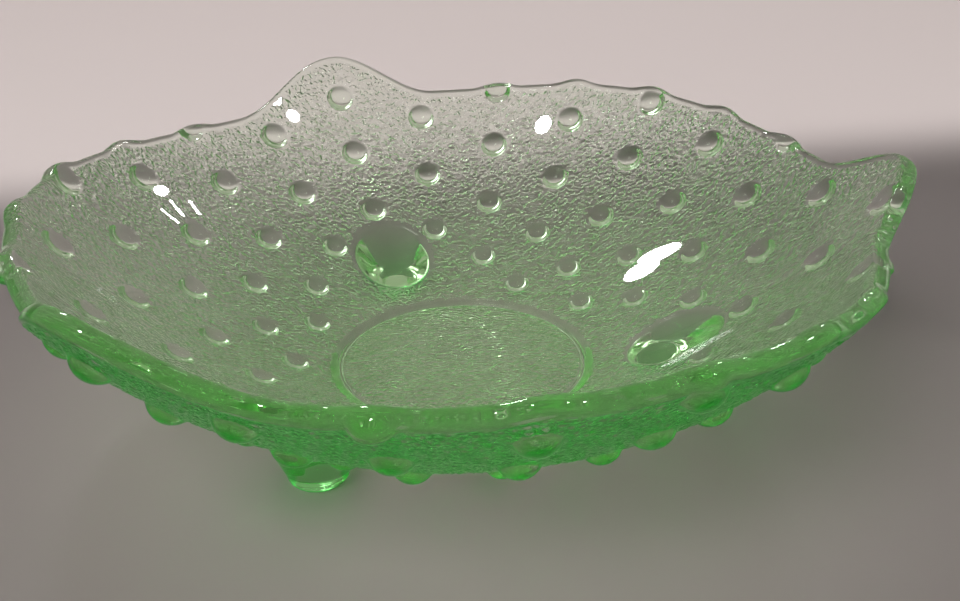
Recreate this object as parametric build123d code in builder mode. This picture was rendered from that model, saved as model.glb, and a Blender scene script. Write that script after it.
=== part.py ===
from build123d import *
import os
from math import asin, atan2, cos, degrees, pi, radians, sin, sqrt, tan

# A pressed glass dish: a spherical wall of even thickness with a three-cornered rim, hobnails
# on the outside, a flat base disc and three stub feet. Millimetres, Z up, front at -Y.
# The origin is on the bowl's axis, on the surface that the feet stand on.

# The spherical wall, centred on the Z axis above the feet
BALL_RADIUS = 141.0
BALL_HEIGHT = 140.0
WALL = 4.8
INNER_RADIUS = BALL_RADIUS - WALL

# The rim: its radius at the outer face at each corner, hollow and swell round the dish. The back
# and left corners are alike, the right one is shorter and narrower. A crest stands over each
# hobnail line between the corners.
CORNER_ANGLES = (105, 225, 345)
CORNER_RADIUS = 123.1
SWELL_RADIUS = 117.0
RIM_TURNS = (
    (-26, 111.6),
    (-11.5, 121.0),
    (5, 113.6),
    (51, SWELL_RADIUS),
    (87.5, 114.4),
    (105, CORNER_RADIUS),
    (125.8, 113.7),
    (171, SWELL_RADIUS),
    (207.5, 114.4),
    (225, CORNER_RADIUS),
    (245.8, 113.7),
    (291, SWELL_RADIUS),
    (334, 111.6),
)
CREST_ANGLES = (15, 30, 45, 60, 75, 135, 150, 165, 180, 195, 255, 270, 285, 300, 315)
CREST_RISE = 1.1
CREST_HALF_WIDTH = 5.0
RIM_BAND = 5.0
RIM_BEVEL = 0.8
RIM_STEP = 2.5

# The base: a flat disc that stands proud of the ball, with a fine bead and a drafted edge
DISC_UNDERSIDE = 2.4
DISC_TOP = 9.2
DISC_RADIUS = 37.0
BEAD_RADIUS = 36.1
BEAD_HALF_WIDTH = 0.8
BEAD_DROP = 0.5
DRAFT_RADIUS = 39.3
RING_RADIUS = 43.0

# The feet, one on each corner's line
FOOT_POLAR = 25.3
FOOT_PAD_RADIUS = 5.2
FOOT_HEEL_RADIUS = 8.2
FOOT_HEEL_HEIGHT = 3.2
FOOT_TOP_RADIUS = 12.6
FOOT_TOP_HEIGHT = 14.0

# The hobnails stand in eight rows on 24 lines, the rows alternating between even and odd lines.
# Each row is its polar angle from straight down, the hobnails' width, and the first line.
LINE_STEP = 15
HOBNAIL_RISE = 2.7
HOBNAIL_RIM_GAP = 0.35
HOBNAIL_ROWS = {
    "a": (20.5, 8.0, 0),
    "b": (25.3, 8.2, 1),
    "c": (30.4, 8.6, 0),
    "d": (35.2, 9.0, 1),
    "e": (40.4, 9.4, 0),
    "f": (45.3, 9.6, 1),
    "g": (50.2, 9.8, 0),
    "h": (54.4, 9.8, 1),
}


def rim_radius(angle):
    """Radius of the rim's outer edge at an angle about Z."""
    turn = (angle - RIM_TURNS[0][0]) % 360 + RIM_TURNS[0][0]
    radius = RIM_TURNS[0][1]
    for (start, low), (end, high) in zip(RIM_TURNS, RIM_TURNS[1:]):
        if start <= turn <= end:
            radius = low + (high - low) * (1 - cos(pi * (turn - start) / (end - start))) / 2
    for crest in CREST_ANGLES:
        if abs(turn - crest) < CREST_HALF_WIDTH:
            radius += CREST_RISE * cos(pi / 2 * (turn - crest) / CREST_HALF_WIDTH) ** 2
    return radius


def rim_point(angle, depth, inset):
    """Where the line from the ball's centre through the rim meets a level below the centre."""
    polar = asin(rim_radius(angle) / BALL_RADIUS) - inset / BALL_RADIUS
    reach = depth * tan(polar)
    return (reach * cos(radians(angle)), reach * sin(radians(angle)))


def ball_point(radius, polar):
    """A point of a ball's profile, by its angle from straight down."""
    return (radius * sin(radians(polar)), BALL_HEIGHT - radius * cos(radians(polar)))


def ball_level(radius, reach):
    """Height of a ball's surface at a distance from the Z axis."""
    return BALL_HEIGHT - sqrt(radius**2 - reach**2)


def rim_cone(inset):
    """The solid cone from the ball's centre through the rim, drawn in along the wall."""
    angles = [RIM_STEP * (i + 0.5) for i in range(round(360 / RIM_STEP))]
    with BuildPart() as cone:
        for depth in (20, BALL_RADIUS + 12):
            with BuildSketch(Plane.XY.offset(BALL_HEIGHT - depth)):
                with BuildLine():
                    Polyline([rim_point(angle, depth, inset) for angle in angles], close=True)
                make_face()
        loft(ruled=True)
    return cone.part


def on_rim(edge):
    """Whether an edge lies past the middle of the rim band, on the way to the rim."""
    spot = edge.center()
    reach = sqrt(spot.X**2 + spot.Y**2)
    polar = atan2(reach, BALL_HEIGHT - spot.Z)
    rim_polar = asin(rim_radius(degrees(atan2(spot.Y, spot.X))) / BALL_RADIUS)
    return polar > rim_polar - RIM_BAND / 2 / BALL_RADIUS


def lines_of_row(row):
    """The lines that carry a hobnail in this row: none by a foot, or centred past the rim."""
    polar, _, first = HOBNAIL_ROWS[row]
    reach = BALL_RADIUS * sin(radians(polar))
    lines = []
    for line in range(first, 24, 2):
        angle = 90 - LINE_STEP * line
        offset = min((angle - corner) % 360 for corner in CORNER_ANGLES)
        beside = min(offset, 120 - offset)
        if row == "a" and beside <= LINE_STEP:
            continue
        if row == "b" and beside == 0:
            continue
        if rim_radius(angle) < reach + HOBNAIL_RIM_GAP:
            continue
        lines.append(line)
    return lines


full_cone = rim_cone(0)
inner_cone = rim_cone(RIM_BAND)
hobnail_cone = rim_cone(RIM_BEVEL)

outer_ball = Solid.make_sphere(BALL_RADIUS, Plane((0, 0, BALL_HEIGHT)))

JOIN_POLAR = degrees(asin(RING_RADIUS / BALL_RADIUS))

with BuildPart() as shell:
    with BuildSketch(Plane.XZ):
        with BuildLine():
            Line(ball_point(INNER_RADIUS, JOIN_POLAR), ball_point(BALL_RADIUS, JOIN_POLAR))
            ThreePointArc(
                ball_point(BALL_RADIUS, JOIN_POLAR),
                ball_point(BALL_RADIUS, 45),
                ball_point(BALL_RADIUS, 70),
            )
            Line(ball_point(BALL_RADIUS, 70), ball_point(INNER_RADIUS, 70))
            ThreePointArc(
                ball_point(INNER_RADIUS, 70),
                ball_point(INNER_RADIUS, 45),
                ball_point(INNER_RADIUS, JOIN_POLAR),
            )
        make_face()
    revolve(axis=Axis.Z)

with BuildPart() as bowl_wall:
    add(shell.part)
    add(inner_cone, mode=Mode.INTERSECT)

with BuildPart() as rim_edge:
    add(shell.part)
    add(full_cone, mode=Mode.INTERSECT)
    add(inner_cone, mode=Mode.SUBTRACT)
    ball_edges = rim_edge.faces().filter_by(GeomType.SPHERE).edges()
    chamfer(ball_edges.filter_by(on_rim), length=RIM_BEVEL)

with BuildPart() as base_disc:
    with BuildSketch(Plane.XY.offset(DISC_UNDERSIDE)):
        Circle(DISC_RADIUS)
    extrude(amount=DISC_TOP - DISC_UNDERSIDE)
    with Locations((0, 0, DISC_UNDERSIDE + BEAD_HALF_WIDTH - BEAD_DROP)):
        Torus(BEAD_RADIUS, BEAD_HALF_WIDTH)

with BuildPart() as base_ring:
    with BuildSketch(Plane.XZ):
        with BuildLine():
            Polyline(
                (DISC_RADIUS, DISC_TOP),
                (DISC_RADIUS, DISC_UNDERSIDE),
                (DRAFT_RADIUS, ball_level(BALL_RADIUS, DRAFT_RADIUS)),
            )
            ThreePointArc(
                (DRAFT_RADIUS, ball_level(BALL_RADIUS, DRAFT_RADIUS)),
                (41.0, ball_level(BALL_RADIUS, 41.0)),
                ball_point(BALL_RADIUS, JOIN_POLAR),
            )
            Line(ball_point(BALL_RADIUS, JOIN_POLAR), ball_point(INNER_RADIUS, JOIN_POLAR))
            Line(ball_point(INNER_RADIUS, JOIN_POLAR), (DISC_RADIUS, DISC_TOP))
        make_face()
    revolve(axis=Axis.Z)


def foot(angle):
    """A stub foot that tapers down to a round-edged pad and ends on the ball."""
    reach = BALL_RADIUS * sin(radians(FOOT_POLAR))
    place = Plane((reach * cos(radians(angle)), reach * sin(radians(angle)), 0))
    side = Plane(place.origin, x_dir=(1, 0, 0), z_dir=(0, -1, 0))
    with BuildPart() as stub:
        with BuildSketch(side):
            with BuildLine():
                Line((0, 0), (FOOT_PAD_RADIUS, 0))
                TangentArc((FOOT_PAD_RADIUS, 0), (FOOT_HEEL_RADIUS, FOOT_HEEL_HEIGHT), tangent=(1, 0))
                Line((FOOT_HEEL_RADIUS, FOOT_HEEL_HEIGHT), (FOOT_TOP_RADIUS, FOOT_TOP_HEIGHT))
                Polyline(
                    (FOOT_TOP_RADIUS, FOOT_TOP_HEIGHT),
                    (FOOT_TOP_RADIUS, FOOT_TOP_HEIGHT + 12),
                    (0, FOOT_TOP_HEIGHT + 12),
                    (0, 0),
                )
            make_face()
        revolve(axis=Axis(place.origin, (0, 0, 1)))
        add(outer_ball, mode=Mode.SUBTRACT)
    return stub.part


with BuildPart() as foot_back:
    add(foot(CORNER_ANGLES[0]))

with BuildPart() as foot_left:
    add(foot(CORNER_ANGLES[1]))

with BuildPart() as foot_right:
    add(foot(CORNER_ANGLES[2]))


def hobnails(row):
    """One row of domes standing on the ball, cut off where they pass the rim."""
    polar, width, _ = HOBNAIL_ROWS[row]
    dome_radius = (width**2 / 4 + HOBNAIL_RISE**2) / (2 * HOBNAIL_RISE)
    reach, level = ball_point(BALL_RADIUS + HOBNAIL_RISE - dome_radius, polar)
    with BuildPart() as domes:
        for line in lines_of_row(row):
            angle = radians(90 - LINE_STEP * line)
            with Locations((reach * cos(angle), reach * sin(angle), level)):
                Sphere(dome_radius)
        add(outer_ball, mode=Mode.SUBTRACT)
        if row == "h":
            add(hobnail_cone, mode=Mode.INTERSECT)
    return domes.part


rows = {row: hobnails(row) for row in HOBNAIL_ROWS}

pieces = {
    "bowl_wall": bowl_wall.part,
    "rim_edge": rim_edge.part,
    "base_disc": base_disc.part,
    "base_ring": base_ring.part,
    "foot_back": foot_back.part,
    "foot_left": foot_left.part,
    "foot_right": foot_right.part,
}
for row, domes in rows.items():
    pieces["hobnails_row_" + row] = domes

os.makedirs("parts", exist_ok=True)
for name, piece in pieces.items():
    piece.label = name
    export_step(piece, "parts/" + name + ".step")
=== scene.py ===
from math import cos, pi, radians, sin, sqrt

import bpy
import numpy as np
from mathutils import Matrix, Vector, noise
from mathutils.geometry import delaunay_2d_cdt


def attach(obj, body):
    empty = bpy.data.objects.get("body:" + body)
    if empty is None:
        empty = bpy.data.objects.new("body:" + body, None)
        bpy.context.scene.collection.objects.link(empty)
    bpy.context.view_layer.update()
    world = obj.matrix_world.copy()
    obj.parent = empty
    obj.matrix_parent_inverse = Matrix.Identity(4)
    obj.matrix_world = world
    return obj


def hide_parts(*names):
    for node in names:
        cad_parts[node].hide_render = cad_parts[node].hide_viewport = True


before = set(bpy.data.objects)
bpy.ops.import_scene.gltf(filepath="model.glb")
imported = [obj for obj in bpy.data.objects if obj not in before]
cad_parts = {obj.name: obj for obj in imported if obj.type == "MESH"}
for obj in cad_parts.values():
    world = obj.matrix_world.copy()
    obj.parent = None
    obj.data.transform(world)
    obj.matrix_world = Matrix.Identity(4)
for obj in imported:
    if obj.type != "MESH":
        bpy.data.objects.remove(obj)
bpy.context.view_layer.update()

# The dish's glass is one closed skin of millimetre points, made in the CAD frame and scaled to
# metres at the end. Its faces are laid out on a flat chart: a point's distance from the chart's
# middle is its arc along the ball from straight down.
MM = 0.001

# The spherical wall, as in the CAD
BALL_RADIUS = 141.0
BALL_HEIGHT = 140.0
WALL = 4.8
INNER_RADIUS = BALL_RADIUS - WALL

# The rim, as in the CAD: its radius where it turns, and a crest over each hobnail line
CORNER_ANGLES = (105, 225, 345)
CORNER_RADIUS = 123.1
SWELL_RADIUS = 117.0
RIM_TURNS = (
    (-26, 111.6),
    (-11.5, 121.0),
    (5, 113.6),
    (51, SWELL_RADIUS),
    (87.5, 114.4),
    (105, CORNER_RADIUS),
    (125.8, 113.7),
    (171, SWELL_RADIUS),
    (207.5, 114.4),
    (225, CORNER_RADIUS),
    (245.8, 113.7),
    (291, SWELL_RADIUS),
    (334, 111.6),
)
CREST_ANGLES = (15, 30, 45, 60, 75, 135, 150, 165, 180, 195, 255, 270, 285, 300, 315)
CREST_RISE = 1.1
CREST_HALF_WIDTH = 5.0

# The rim's rounding: how far it reaches in, and how square it is towards each face
RIM_POINTS = 900
RIM_STEPS = 18
RIM_INSET = 0.1
RIM_ROUND = 1.7
RIM_OUTER_SQUARENESS = 3.0
RIM_INNER_SQUARENESS = 2.2

# The base disc with its bead, and the flat floor above it
DISC_UNDERSIDE = 2.4
DISC_RADIUS = 37.0
DRAFT_RADIUS = 39.3
BEAD_RADIUS = 36.1
BEAD_HALF_WIDTH = 0.8
BEAD_DROP = 0.5
FLOOR_HEIGHT = 9.2

# The feet
FOOT_POLAR = 25.3
FOOT_PAD_RADIUS = 5.2
FOOT_HEEL_RADIUS = 8.2
FOOT_HEEL_HEIGHT = 3.2
FOOT_TOP_RADIUS = 12.6
FOOT_TOP_HEIGHT = 14.0
FOOT_SIDES = 96
FOOT_FILLET = 1.6

# The hobnails: polar angle, width and first line of each row
LINE_STEP = 15
HOBNAIL_RISE = 2.7
HOBNAIL_RIM_GAP = 0.35
HOBNAIL_BLEND = 0.35
HOBNAIL_ROWS = {
    "a": (20.5, 8.0, 0),
    "b": (25.3, 8.2, 1),
    "c": (30.4, 8.6, 0),
    "d": (35.2, 9.0, 1),
    "e": (40.4, 9.4, 0),
    "f": (45.3, 9.6, 1),
    "g": (50.2, 9.8, 0),
    "h": (54.4, 9.8, 1),
}
HOBNAIL_SIDES = 36
HOBNAIL_RINGS = (0.2, 0.4, 0.58, 0.72, 0.83, 0.91, 0.97, 1.03, 1.09, 1.17, 1.27)

# The pebbled outer face: spacing of its points, size and height of its pebbles
POINT_STEP = 0.5
PEBBLE_SIZE = 0.95
PEBBLE_RISE = 0.24
DISC_PEBBLE_RISE = 0.03

# The arcs between which the face stays smooth, round the disc's bead and drafted edge
DISC_EDGE_BAND = (35.5, 39.7)

# The grain on top of the pebbles: how many to the metre and how deep, in metres
GRAIN_SCALE = 850.0
GRAIN_DEPTH = 0.0011

# What the shading asks of each point, from 0 to 1: how pebbled it is, how far it belongs to the
# outer face, and how strongly its thick glass is tinted when it is seen from outside
MARKS = ("stipple", "outside", "thick")
HOBNAIL_TINT = 1.0
FOOT_TINT = 0.8
RIM_TINT = 0.5

# The studio floor, in metres: a disc that bends up into a low wall all round
STAGE_RADIUS = 1.2
STAGE_BEND = 0.4
STAGE_WALL = 0.1
STAGE_DROP = 0.0002
STAGE_SIDES = 96

# Lights over the floor round the dish: place, size and power. They shine almost straight down.
FLOOR_LIGHT_HEIGHT = 0.35
FLOOR_LIGHTS = {
    "floor_back": ((0, 0.62), (2.0, 0.85), 4.8),
    "floor_front": ((0, -0.85), (2.0, 0.85), 4.8),
    "floor_left": ((-0.85, -0.1), (0.85, 0.6), 1.2),
    "floor_right": ((0.85, -0.1), (0.85, 0.6), 1.2),
}

# The power of each light that washes the wall, by its turn clockwise from the back
WALL_LIGHTS = {0: 3.5, 90: 2.6, 180: 2.6, 270: 2.6}

# The camera: place in metres, turn clockwise from looking at the back, tilt down and lean
CAMERA_PLACE = (-0.03085, -0.25181, 0.15024)
CAMERA_TURN = 8.245
CAMERA_TILT = 26.097
CAMERA_LEAN = -0.888
CAMERA_LENS = 36.795

# Small lamps that only show as glints in the bowl: the glint's polar angle and angle about Z on
# the inner face, then the lamp's size, power, shape and slant
GLINT_DISTANCE = 1.2
GLINTS = {
    "window_high": ((32.0, 20.7), (0.11, 0.08), 1.0, "ELLIPSE", -79),
    "window_low": ((28.7, 20.5), (0.11, 0.08), 1.0, "ELLIPSE", 31),
    "lamp_left": ((48.4, 64.8), (0.07, 0.1), 1.0, "ELLIPSE", -156),
    "lamp_right": ((52.2, 115.6), (0.055, 0.065), 0.5, "ELLIPSE", -59),
    "tube_0": ((43.9, 153.2), (0.044, 0.012), 0.3, "RECTANGLE", 52),
    "tube_1": ((44.4, 150.3), (0.054, 0.012), 0.3, "RECTANGLE", 19),
    "tube_2": ((43.3, 146.6), (0.053, 0.012), 0.3, "RECTANGLE", 13),
    "tube_3": ((47.4, 150.2), (0.08, 0.03), 0.3, "ELLIPSE", 145),
}


def smooth_max(a, b, blend):
    """The larger of a and b, with their corner rounded over about the blend's size."""
    return (a + b + np.sqrt((a - b) ** 2 + blend**2)) / 2


# The ball and the flat chart

def on_ball(polar, angle, radius):
    """Points in the CAD frame from polar angles, angles about Z and distances from the centre."""
    flat = radius * np.sin(polar)
    return np.stack(
        [flat * np.cos(angle), flat * np.sin(angle), BALL_HEIGHT - radius * np.cos(polar)], -1
    )


def directions(polar, angle):
    """Unit vectors from the ball's centre."""
    return np.stack(
        [np.sin(polar) * np.cos(angle), np.sin(polar) * np.sin(angle), -np.cos(polar)], -1
    )


def chart_of(points):
    """Where points on or near the ball lie on the flat chart."""
    reach = np.hypot(points[:, 0], points[:, 1])
    arc = BALL_RADIUS * np.arctan2(reach, BALL_HEIGHT - points[:, 2])
    scale = arc / np.maximum(reach, 1e-9)
    return points[:, :2] * scale[:, None]


def polar_and_angle(chart):
    """Polar angles and angles about Z of points on the chart."""
    return np.hypot(chart[:, 0], chart[:, 1]) / BALL_RADIUS, np.arctan2(chart[:, 1], chart[:, 0])


def chart_ring(arc, count, turn=0.0):
    """A circle of points round the chart's middle."""
    angle = 2 * pi * (np.arange(count) + turn) / count
    return arc * np.stack([np.cos(angle), np.sin(angle)], -1)


def spread_rings(step, inner, outer):
    """Rings of evenly spread points between two arcs."""
    rings = []
    for i, arc in enumerate(np.arange(inner, outer, step)):
        rings.append(chart_ring(arc, max(6, round(2 * pi * arc / step)), 0.5 * (i % 2)))
    return np.concatenate(rings)


def beyond_loop(points, loop):
    """How far points lie outside a closed loop that is star-shaped about its middle."""
    middle = loop.mean(0)
    ring = loop - middle
    order = np.argsort(np.arctan2(ring[:, 1], ring[:, 0]))
    bearing = np.arctan2(ring[order, 1], ring[order, 0])
    size = np.hypot(ring[order, 0], ring[order, 1])
    off = points - middle
    limit = np.interp(np.arctan2(off[:, 1], off[:, 0]), bearing, size, period=2 * pi)
    return np.hypot(off[:, 0], off[:, 1]) - limit


def in_loop(points, loop):
    """Which points lie inside a loop."""
    return beyond_loop(points, loop) < 0


# The rim's line

def rim_radius(angle):
    """Radius of the rim's outer edge at an angle about Z."""
    turn = (angle - RIM_TURNS[0][0]) % 360 + RIM_TURNS[0][0]
    radius = RIM_TURNS[0][1]
    for (start, low), (end, high) in zip(RIM_TURNS, RIM_TURNS[1:]):
        if start <= turn <= end:
            radius = low + (high - low) * (1 - cos(pi * (turn - start) / (end - start))) / 2
    for crest in CREST_ANGLES:
        if abs(turn - crest) < CREST_HALF_WIDTH:
            radius += CREST_RISE * cos(pi / 2 * (turn - crest) / CREST_HALF_WIDTH) ** 2
    return radius


RIM_ANGLES = 2 * pi * np.arange(RIM_POINTS) / RIM_POINTS
RIM_RADII = np.array([rim_radius(np.degrees(angle)) for angle in RIM_ANGLES])

# The rim's arc from straight down at each of those angles, a touch inside the CAD's
RIM_ARCS = BALL_RADIUS * np.arcsin(RIM_RADII / BALL_RADIUS) - RIM_INSET


def to_rim(chart):
    """How far points of the chart are from the rim, measured towards it along the wall."""
    bearing = np.arctan2(chart[:, 1], chart[:, 0]) % (2 * pi)
    return np.interp(bearing, RIM_ANGLES, RIM_ARCS, period=2 * pi) - np.hypot(*chart.T)


def inside_rim(chart, margin):
    """Which points of the chart are inside the rim's rounding by at least the margin."""
    return to_rim(chart) - RIM_ROUND > margin


# The hobnails

def hobnail_centres():
    """Polar angle, angle about Z and width of every hobnail, in radians and millimetres."""
    found = []
    for row, (polar, width, first) in HOBNAIL_ROWS.items():
        for line in range(first, 24, 2):
            angle = 90 - LINE_STEP * line
            offset = min((angle - corner) % 360 for corner in CORNER_ANGLES)
            beside = min(offset, 120 - offset)
            if row == "a" and beside <= LINE_STEP:
                continue
            if row == "b" and beside == 0:
                continue
            if rim_radius(angle) < BALL_RADIUS * sin(radians(polar)) + HOBNAIL_RIM_GAP:
                continue
            found.append((radians(polar), radians(angle), width))
    return found


HOBNAILS = hobnail_centres()


def hobnail_arc(ways, polar, angle):
    """Arcs from a hobnail's centre to directions from the ball's centre."""
    return BALL_RADIUS * np.arccos(np.clip(ways @ directions(polar, angle), -1, 1))


def hobnail_height(chart):
    """How far the hobnails stand above the ball at points of the chart."""
    ways = directions(*polar_and_angle(chart))
    height = np.zeros(len(chart))
    for polar, angle, width in HOBNAILS:
        arc = hobnail_arc(ways, polar, angle)
        dome = (width**2 / 4 + HOBNAIL_RISE**2) / (2 * HOBNAIL_RISE)
        near = arc < 0.75 * width
        raw = np.sqrt(np.maximum(dome**2 - arc[near] ** 2, 0)) - (dome - HOBNAIL_RISE)
        fade = np.clip((0.75 * width - arc[near]) / (0.2 * width), 0, 1)
        rounded = smooth_max(raw, 0, HOBNAIL_BLEND)
        rise = fade * rounded * HOBNAIL_RISE / (HOBNAIL_RISE + 0.02)
        height[near] = np.maximum(height[near], rise)
    return height


def hobnail_nearness(chart):
    """1 on a hobnail and just round it, falling to 0 beyond."""
    ways = directions(*polar_and_angle(chart))
    nearness = np.zeros(len(chart))
    for polar, angle, width in HOBNAILS:
        arc = hobnail_arc(ways, polar, angle)
        nearness = np.maximum(nearness, np.clip((0.6 * width - arc) / (0.1 * width), 0, 1))
    return nearness


def hobnail_rings():
    """Rings of points over and round each hobnail, on the chart."""
    found = []
    around = 2 * pi * np.arange(HOBNAIL_SIDES) / HOBNAIL_SIDES
    for polar, angle, width in HOBNAILS:
        centre = directions(polar, angle)
        out = directions(polar + pi / 2, angle)
        side = np.cross(centre, out)
        ways = [centre[None]]
        for i, ring in enumerate(HOBNAIL_RINGS):
            bend = ring * width / 2 / BALL_RADIUS
            spun = around + (i % 2) * pi / HOBNAIL_SIDES
            edge = np.cos(spun)[:, None] * out + np.sin(spun)[:, None] * side
            ways.append(cos(bend) * centre + sin(bend) * edge)
        points = np.array([0, 0, BALL_HEIGHT]) + BALL_RADIUS * np.concatenate(ways)
        found.append(chart_of(points))
    return found


# The faces

def base_level(reach):
    """Height of the underside near the middle: the flat disc, its drafted edge, then the ball."""
    ball = BALL_HEIGHT - np.sqrt(BALL_RADIUS**2 - reach**2)
    top = BALL_HEIGHT - sqrt(BALL_RADIUS**2 - DRAFT_RADIUS**2)
    slope = (top - DISC_UNDERSIDE) / (DRAFT_RADIUS - DISC_RADIUS)
    draft = DISC_UNDERSIDE + slope * (reach - DISC_RADIUS)
    inside = smooth_max(draft, DISC_UNDERSIDE, 0.5)
    outside = -smooth_max(-draft, -ball, 0.3)
    middle = (DISC_RADIUS + DRAFT_RADIUS) / 2
    share = np.clip((reach - middle) / 0.6 + 0.5, 0, 1)
    round_bead = np.sqrt(np.maximum(BEAD_HALF_WIDTH**2 - (reach - BEAD_RADIUS) ** 2, 0))
    bead = np.maximum(round_bead - BEAD_HALF_WIDTH + BEAD_DROP, 0)
    return inside * (1 - share) + outside * share - bead


def pebbles(points):
    """Smooth random heights from about -1 to 1 at points of the outer face."""
    return np.array([noise.noise(spot) for spot in (points / PEBBLE_SIZE).tolist()]) * 1.6


def pebbled_share(chart, foot_loops):
    """How pebbled the outer face is: smooth on hobnails and disc edge, by the feet and rim."""
    share = 1 - hobnail_nearness(chart)
    share *= np.clip((to_rim(chart) - RIM_ROUND) / 0.6, 0, 1)
    for loop in foot_loops:
        share *= np.clip(beyond_loop(chart, loop) / 0.6, 0, 1)
    arc = np.hypot(*chart.T)
    off_edge = np.maximum(DISC_EDGE_BAND[0] - arc, arc - DISC_EDGE_BAND[1])
    return share * np.clip(off_edge / 0.4, 0, 1)


def outer_points(chart, pebbled):
    """The outer face over points of the chart, pebbled where it is said to be."""
    polar, angle = polar_and_angle(chart)
    reach = BALL_RADIUS * np.sin(polar)
    height = np.where(reach < DISC_RADIUS, DISC_PEBBLE_RISE, PEBBLE_RISE)
    rise = pebbled * height * pebbles(on_ball(polar, angle, BALL_RADIUS))
    points = on_ball(polar, angle, BALL_RADIUS + hobnail_height(chart) + rise)
    base = reach < DRAFT_RADIUS + 1.5
    points[base, 2] = base_level(reach[base]) - rise[base]
    return points


def inner_points(chart):
    """The inner face over points of the chart: the ball, with a flat floor in the middle."""
    polar, angle = polar_and_angle(chart)
    floor = (BALL_HEIGHT - FLOOR_HEIGHT) / np.cos(polar)
    radius = -smooth_max(-floor, -INNER_RADIUS, 0.8)
    return on_ball(polar, angle, np.minimum(radius, INNER_RADIUS))


def foot_profile():
    """Radius and height pairs of a foot's round-edged pad, from near its middle outwards."""
    points = [(1.8, 0.0), (3.6, 0.0)]
    heel_width = FOOT_HEEL_RADIUS - FOOT_PAD_RADIUS
    for i in range(9):
        turn = pi / 2 * i / 8
        points.append((
            FOOT_PAD_RADIUS + heel_width * sin(turn),
            FOOT_HEEL_HEIGHT * (1 - cos(turn)),
        ))
    return points


def foot_rings(angle):
    """The middle of one foot's pad, and its rings from there up to the ball."""
    out = np.array([cos(angle), sin(angle), 0.0])
    side = np.array([-sin(angle), cos(angle), 0.0])
    up = np.array([0, 0, 1.0])
    around = 2 * pi * np.arange(FOOT_SIDES) / FOOT_SIDES
    spoke = np.cos(around)[:, None] * out + np.sin(around)[:, None] * side
    axis = BALL_RADIUS * sin(radians(FOOT_POLAR)) * out
    taper = (FOOT_TOP_RADIUS - FOOT_HEEL_RADIUS) / (FOOT_TOP_HEIGHT - FOOT_HEEL_HEIGHT)

    def at(height):
        radius = FOOT_HEEL_RADIUS + taper * (height - FOOT_HEEL_HEIGHT)
        return axis + radius[:, None] * spoke + height[:, None] * up

    # Where the tapered side meets the ball, by halving
    centre = BALL_HEIGHT * up
    low, high = np.full(FOOT_SIDES, 3.0), np.full(FOOT_SIDES, 30.0)
    for _ in range(40):
        middle = (low + high) / 2
        below = np.linalg.norm(at(middle) - centre, axis=1) > BALL_RADIUS
        low, high = np.where(below, middle, low), np.where(below, high, middle)
    joint = (low + high) / 2

    rings = [axis + radius * spoke + height * up for radius, height in foot_profile()]
    start = joint - FOOT_FILLET
    for share in (0.25, 0.5, 0.75, 1.0):
        rings.append(at(FOOT_HEEL_HEIGHT + share * (start - FOOT_HEEL_HEIGHT)))
    return axis, rings + foot_fillet(rings[-1], at(joint), centre, spoke)


def foot_fillet(first, corner, centre, spoke):
    """Rings that turn from a foot's side into the ball."""
    ways = corner + FOOT_FILLET * spoke - centre
    beyond = centre + BALL_RADIUS * ways / np.linalg.norm(ways, axis=1)[:, None]
    rings = []
    for step in range(1, 7):
        t = step / 6
        rings.append((1 - t) ** 2 * first + 2 * t * (1 - t) * corner + t**2 * beyond)
    return rings


def rim_rings(outer_loop):
    """Rings of the rounded rim from the outer face to the inner one, each with its nearness to
    the outer face."""
    outside = BALL_RADIUS + hobnail_height(outer_loop)
    middle, half = (outside + INNER_RADIUS) / 2, (outside - INNER_RADIUS) / 2
    rings = []
    for step in range(1, RIM_STEPS):
        turn = pi * step / RIM_STEPS
        outer_half = turn < pi / 2
        squareness = RIM_OUTER_SQUARENESS if outer_half else RIM_INNER_SQUARENESS
        across = abs(cos(turn)) ** (2 / squareness) * (1 if outer_half else -1)
        along = sin(turn) ** (2 / squareness)
        polar = (RIM_ARCS - RIM_ROUND * (1 - along)) / BALL_RADIUS
        rings.append((0.5 + 0.5 * cos(turn), on_ball(polar, RIM_ANGLES, middle + half * across)))
    return rings


# The skin

class Skin:
    """Collects the points and faces of one closed mesh, and the marks of each point."""

    def __init__(self):
        self.points = []
        self.faces = []
        self.count = 0
        self.marks = {title: [] for title in MARKS}

    def add(self, points, **marks):
        """Adds points and returns their numbers."""
        numbers = np.arange(self.count, self.count + len(points))
        self.points.append(points)
        for title, shares in self.marks.items():
            shares.append(np.broadcast_to(marks.get(title, 0.0), len(points)))
        self.count += len(points)
        return numbers

    def band(self, lower, upper):
        """Joins two rings of the same length with quads."""
        for a, b, c, d in zip(lower, np.roll(lower, -1), np.roll(upper, -1), upper):
            self.faces.append((int(a), int(b), int(c), int(d)))

    def fan(self, ring, tip):
        """Closes a ring with triangles to a tip."""
        for a, b in zip(ring, np.roll(ring, -1)):
            self.faces.append((int(b), int(a), int(tip)))

    def sheet(self, triangles, numbers, flip):
        """Adds triangles of the chart, facing out or in."""
        order = (2, 1, 0) if flip else (0, 1, 2)
        for face in triangles:
            self.faces.append(tuple(int(numbers[face[i]]) for i in order))

    def build(self, name):
        """Makes the mesh object, in metres."""
        mesh = bpy.data.meshes.new(name)
        mesh.from_pydata((np.concatenate(self.points) * MM).tolist(), [], self.faces)
        mesh.validate()
        mesh.shade_smooth()
        for title, shares in self.marks.items():
            mark = mesh.attributes.new(title, "FLOAT", "POINT")
            mark.data.foreach_set("value", np.concatenate(shares).astype(np.float32))
        thing = bpy.data.objects.new(name, mesh)
        bpy.context.scene.collection.objects.link(thing)
        return thing


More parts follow.
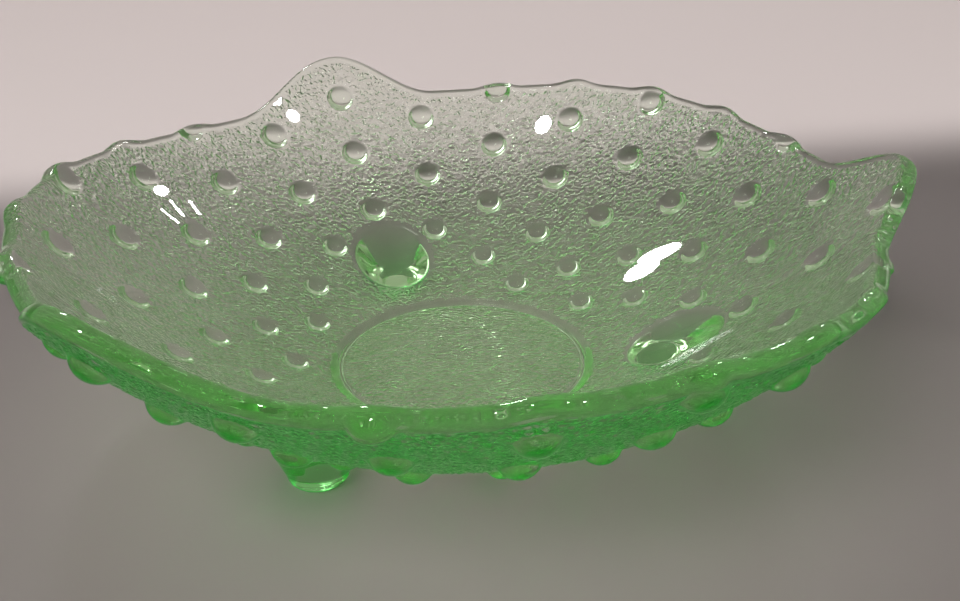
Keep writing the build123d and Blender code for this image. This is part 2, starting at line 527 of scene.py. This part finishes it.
def triangulate(chart, loops):
    """Triangles over points of the chart, keeping the edges of closed loops of point numbers."""
    edges = []
    for loop in loops:
        edges += [(int(a), int(b)) for a, b in zip(loop, np.roll(loop, -1))]
    verts, _, faces, _, _, _ = delaunay_2d_cdt([Vector(p) for p in chart], edges, [], 0, 1e-6)
    if len(verts) != len(chart):
        raise RuntimeError(f"the chart gained points: {len(chart)} became {len(verts)}")
    return np.array(faces)


def first_of_close_points(points):
    """Points left after dropping any that nearly repeats an earlier one."""
    cells = {}
    for i, (x, y) in enumerate(points):
        cells.setdefault((round(x / 0.1), round(y / 0.1)), i)
    return points[list(cells.values())]


def outer_spread(foot_loops):
    """Points of the outer face between the rim's loop and the feet's loops, on the chart."""
    domes = [dome[inside_rim(dome, 0.5)] for dome in hobnail_rings()]
    reaches = np.concatenate([np.arange(35.15, 37.6, 0.12), np.arange(37.7, 40.3, 0.3)])
    arcs = BALL_RADIUS * np.arcsin(reaches / BALL_RADIUS)
    disc_edge = [chart_ring(arc, 420, 0.5 * (i % 2)) for i, arc in enumerate(arcs)]
    disc = [np.zeros((1, 2)), spread_rings(POINT_STEP, POINT_STEP, 34.9)]
    plain = spread_rings(POINT_STEP, 40.6, 160.0)
    plain = plain[inside_rim(plain, 0.4)]
    ways = directions(*polar_and_angle(plain))
    for polar, angle, width in HOBNAILS:
        clear = hobnail_arc(ways, polar, angle) > width / 2 * HOBNAIL_RINGS[-1] + 0.3
        plain, ways = plain[clear], ways[clear]
    kept = np.concatenate(domes + disc_edge + disc + [plain])
    for loop in foot_loops:
        grown = loop.mean(0) + (loop - loop.mean(0)) * 1.04
        kept = kept[~in_loop(kept, grown)]
    return first_of_close_points(kept)


def add_outer_face(skin, rim_loop, feet):
    """Adds the outer face with a hole for each foot; returns the loops of point numbers."""
    foot_loops = [chart_of(rings[-1]) for _, rings in feet]
    loop_charts = [rim_loop] + foot_loops
    chart = np.concatenate(loop_charts + [outer_spread(foot_loops)])
    starts = np.cumsum([0] + [len(loop) for loop in loop_charts])
    loops = [np.arange(start, end) for start, end in zip(starts, starts[1:])]
    triangles = triangulate(chart, loops)
    middles = chart[triangles].mean(1)
    keep = inside_rim(middles, 0.0)
    for loop in foot_loops:
        keep &= ~in_loop(middles, loop)

    stipple = pebbled_share(chart, foot_loops)
    thick = HOBNAIL_TINT * np.clip(1.4 * hobnail_height(chart) / HOBNAIL_RISE, 0, 1)
    points = outer_points(chart, stipple)
    for loop, (_, rings) in zip(loops[1:], feet):
        points[loop] = rings[-1]
    numbers = skin.add(points, stipple=stipple, outside=1.0, thick=thick)
    skin.sheet(triangles[keep], numbers, flip=True)
    return [numbers[loop] for loop in loops]


def add_foot(skin, loop, tip, rings):
    """Adds a foot under its loop of the outer face."""
    middle = skin.add(tip[None], outside=1.0, thick=FOOT_TINT)
    below = loop
    for ring in reversed(rings[:-1]):
        here = skin.add(ring, outside=1.0, thick=FOOT_TINT)
        skin.band(here, below)
        below = here
    skin.fan(below, middle[0])


def add_rim(skin, loop, rim_loop):
    """Adds the rounded rim from its loop of the outer face; returns its last ring."""
    last = loop
    for nearness, ring in rim_rings(rim_loop):
        here = skin.add(ring, outside=nearness, thick=RIM_TINT * nearness)
        skin.band(last, here)
        last = here
    return last


def add_inner_face(skin, last, rim_loop):
    """Adds the inner face and joins it to the rim's last ring."""
    spread = np.concatenate([np.zeros((1, 2)), spread_rings(2.6, 2.6, 160.0)])
    chart = np.concatenate([rim_loop, spread[inside_rim(spread, 1.4)]])
    triangles = triangulate(chart, [np.arange(RIM_POINTS)])
    triangles = triangles[inside_rim(chart[triangles].mean(1), 0.0)]
    numbers = skin.add(inner_points(chart))
    skin.sheet(triangles, numbers, flip=False)
    skin.band(last, numbers[:RIM_POINTS])


def glass_dish():
    """The whole pressing as one closed skin."""
    skin = Skin()
    rim_loop = (RIM_ARCS - RIM_ROUND)[:, None] * chart_ring(1.0, RIM_POINTS)
    feet = [foot_rings(radians(angle)) for angle in CORNER_ANGLES]
    loops = add_outer_face(skin, rim_loop, feet)
    for loop, (tip, rings) in zip(loops[1:], feet):
        add_foot(skin, loop, tip, rings)
    last = add_rim(skin, loops[0], rim_loop)
    add_inner_face(skin, last, rim_loop)
    return skin.build("glass_dish")


# Materials

def node(tree, kind, place, **settings):
    """A new shader node with its place in the editor and its settings."""
    made = tree.nodes.new(kind)
    made.location = place
    for name, value in settings.items():
        setattr(made, name, value)
    return made


def grain_normal(tree):
    """The normal of a fine grain, as strong as each point is pebbled."""
    place = node(tree, "ShaderNodeTexCoord", (-900, -200))
    grain = node(tree, "ShaderNodeTexNoise", (-650, -200))
    grain.inputs["Scale"].default_value = GRAIN_SCALE
    grain.inputs["Detail"].default_value = 0.8
    grain.inputs["Roughness"].default_value = 0.45
    pebbled = node(tree, "ShaderNodeAttribute", (-650, -500), attribute_name="stipple")
    bump = node(tree, "ShaderNodeBump", (50, -250))
    bump.inputs["Distance"].default_value = GRAIN_DEPTH
    tree.links.new(place.outputs["Object"], grain.inputs["Vector"])
    tree.links.new(grain.outputs["Fac"], bump.inputs["Height"])
    tree.links.new(pebbled.outputs["Fac"], bump.inputs["Strength"])
    return bump.outputs["Normal"]


def edge_on_share(tree):
    """From 0 to 1, how nearly the outer face is seen edge-on."""
    steepness = node(tree, "ShaderNodeLayerWeight", (-650, 300))
    steepness.inputs["Blend"].default_value = 0.5
    edge_on = node(tree, "ShaderNodeMapRange", (-450, 300), interpolation_type="SMOOTHSTEP")
    edge_on.inputs["From Min"].default_value = 0.4
    edge_on.inputs["From Max"].default_value = 0.64
    outside = node(tree, "ShaderNodeAttribute", (-450, 550), attribute_name="outside")
    share = node(tree, "ShaderNodeMath", (-250, 300), operation="MULTIPLY")
    tree.links.new(steepness.outputs["Facing"], edge_on.inputs["Value"])
    tree.links.new(edge_on.outputs["Result"], share.inputs[0])
    tree.links.new(outside.outputs["Fac"], share.inputs[1])
    return share.outputs["Value"]


def thick_share(tree):
    """The mark of thick glass where light enters it, and 0 where light leaves it."""
    thick = node(tree, "ShaderNodeAttribute", (-650, 800), attribute_name="thick")
    surface = node(tree, "ShaderNodeNewGeometry", (-650, 1050))
    share = node(tree, "ShaderNodeMath", (-450, 900), operation="SUBTRACT", use_clamp=True)
    tree.links.new(thick.outputs["Fac"], share.inputs[0])
    tree.links.new(surface.outputs["Backfacing"], share.inputs[1])
    return share.outputs["Value"]


def glass():
    """Uranium glass: clear, green in depth, grained outside and deeper green in its thick parts."""
    material = bpy.data.materials.new("uranium_glass")
    material.use_nodes = True
    tree = material.node_tree
    tree.nodes.clear()
    output = node(tree, "ShaderNodeOutputMaterial", (700, 0))
    surface = node(tree, "ShaderNodeBsdfPrincipled", (350, 100))
    surface.inputs["Roughness"].default_value = 0.0
    surface.inputs["IOR"].default_value = 1.52
    surface.inputs["Transmission Weight"].default_value = 1.0
    volume = node(tree, "ShaderNodeVolumeAbsorption", (350, -300))
    volume.inputs["Color"].default_value = (0.88, 0.98, 0.85, 1)
    volume.inputs["Density"].default_value = 100.0
    larger = node(tree, "ShaderNodeMath", (-100, 450), operation="MAXIMUM")
    tint = node(tree, "ShaderNodeMix", (50, 300), data_type="RGBA")
    tint.inputs[6].default_value = (1, 1, 1, 1)
    tint.inputs[7].default_value = (0.01, 0.8, 0.03, 1)
    tree.links.new(edge_on_share(tree), larger.inputs[0])
    tree.links.new(thick_share(tree), larger.inputs[1])
    tree.links.new(larger.outputs["Value"], tint.inputs["Factor"])
    tree.links.new(tint.outputs[2], surface.inputs["Base Color"])
    tree.links.new(grain_normal(tree), surface.inputs["Normal"])
    tree.links.new(surface.outputs["BSDF"], output.inputs["Surface"])
    tree.links.new(volume.outputs["Volume"], output.inputs["Volume"])
    return material


def paint():
    """Matt pale paint for the studio floor."""
    material = bpy.data.materials.new("studio_paint")
    material.use_nodes = True
    surface = material.node_tree.nodes["Principled BSDF"]
    surface.inputs["Base Color"].default_value = (0.545, 0.475, 0.46, 1)
    surface.inputs["Roughness"].default_value = 0.6
    return material


# The studio

def studio_floor():
    """A plain pale floor that curves up into a low wall all round."""
    profile = [(STAGE_RADIUS, 0.0)]
    for i in range(1, 13):
        turn = pi / 2 * i / 12
        profile.append((STAGE_RADIUS + STAGE_BEND * sin(turn), STAGE_BEND * (1 - cos(turn))))
    profile.append((STAGE_RADIUS + STAGE_BEND, STAGE_BEND + STAGE_WALL))
    around = [2 * pi * i / STAGE_SIDES for i in range(STAGE_SIDES)]
    points = [(0, 0, -STAGE_DROP)]
    for reach, height in profile:
        points += [(reach * cos(a), reach * sin(a), height - STAGE_DROP) for a in around]
    faces = []
    for i in range(STAGE_SIDES):
        after = (i + 1) % STAGE_SIDES
        faces.append((0, 1 + i, 1 + after))
        for ring in range(len(profile) - 1):
            low = 1 + STAGE_SIDES * ring
            high = low + STAGE_SIDES
            faces.append((low + i, high + i, high + after, low + after))
    mesh = bpy.data.meshes.new("studio_floor")
    mesh.from_pydata(points, [], faces)
    mesh.shade_smooth()
    mesh.materials.append(paint())
    thing = bpy.data.objects.new("studio_floor", mesh)
    bpy.context.scene.collection.objects.link(thing)


def light(name, place, target, size, power, spread=180, shape="RECTANGLE", slant=0):
    """An area light; the slant turns it about the way it shines, in degrees from level."""
    lamp = bpy.data.lights.new(name, "AREA")
    lamp.shape = shape
    lamp.size, lamp.size_y = size
    lamp.energy = power
    lamp.spread = radians(spread)
    back = Vector(place) - Vector(target)
    turn = back.to_track_quat("Z", "Y").to_matrix() @ Matrix.Rotation(radians(slant), 3, "Z")
    thing = bpy.data.objects.new(name, lamp)
    thing.matrix_world = Matrix.Translation(place) @ turn.to_4x4()
    bpy.context.scene.collection.objects.link(thing)
    return thing


def mirrored_view(polar, angle):
    """A point of the bowl's inner face, and the way in which the camera sees it mirror."""
    way = Vector(directions(radians(polar), radians(angle)))
    spot = MM * (Vector((0, 0, BALL_HEIGHT)) + INNER_RADIUS * way)
    view = (spot - Vector(CAMERA_PLACE)).normalized()
    return spot, view.reflect(way)


def studio_air():
    """A soft warm glow that the glass shows, while the floor takes its light from the lamps."""
    world = bpy.data.worlds.new("studio_air")
    world.use_nodes = True
    background = world.node_tree.nodes["Background"]
    background.inputs["Color"].default_value = (1, 0.93, 0.84, 1)
    background.inputs["Strength"].default_value = 0.45
    world.cycles_visibility.diffuse = False
    bpy.context.scene.world = world


def studio_lights():
    """Soft light on the floor, the wall and the dish."""
    for name, ((x, y), size, power) in FLOOR_LIGHTS.items():
        light(name, (x, y, FLOOR_LIGHT_HEIGHT), (x, y, 0), size, power, spread=20)
    for turn, power in WALL_LIGHTS.items():
        way = Vector((sin(radians(turn)), cos(radians(turn)), 0))
        place = 0.9 * way + Vector((0, 0, 0.7))
        target = 1.6 * way + Vector((0, 0, 0.45))
        light(f"wall_{turn}", place, target, (1.6, 0.5), power, spread=110)
    key = light("key", (-0.8, -0.9, 1.2), (0, 0, 0), (0.8, 0.8), 3.8, spread=110)
    key.visible_glossy = False


def glint_lights():
    """Lamps that stand where the bowl mirrors them to the camera, and don't light the floor."""
    for name, ((polar, angle), size, power, shape, slant) in GLINTS.items():
        spot, way = mirrored_view(polar, angle)
        place = spot + GLINT_DISTANCE * way
        lamp = light(name, place, spot, size, power, shape=shape, slant=slant)
        lamp.visible_diffuse = False


def camera():
    """Looks down at the dish from the front, a little to its left, with no shift."""
    turn, tilt, lean = radians(CAMERA_TURN), radians(CAMERA_TILT), radians(CAMERA_LEAN)
    forward = Vector((sin(turn) * cos(tilt), cos(turn) * cos(tilt), -sin(tilt)))
    level = Vector((cos(turn), -sin(turn), 0))
    upward = level.cross(forward)
    right = cos(lean) * level + sin(lean) * upward
    up = cos(lean) * upward - sin(lean) * level
    data = bpy.data.cameras.new("camera")
    data.lens = CAMERA_LENS
    data.sensor_width = 36.0
    data.clip_start = 0.01
    thing = bpy.data.objects.new("camera", data)
    frame_axes = Matrix((right, up, -forward)).transposed()
    thing.matrix_world = Matrix.Translation(CAMERA_PLACE) @ frame_axes.to_4x4()
    bpy.context.scene.collection.objects.link(thing)
    bpy.context.scene.camera = thing


def light_paths():
    """Enough bounces for light to pass through the whole dish."""
    cycles = bpy.context.scene.cycles
    cycles.max_bounces = 32
    cycles.transmission_bounces = 28
    cycles.glossy_bounces = 12
    cycles.caustics_refractive = True
    cycles.caustics_reflective = False


dish = glass_dish()
dish.data.materials.append(glass())
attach(dish, "root")
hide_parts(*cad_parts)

studio_floor()
studio_air()
studio_lights()
glint_lights()
camera()
light_paths()
bpy.context.scene.view_settings.view_transform = "Standard"
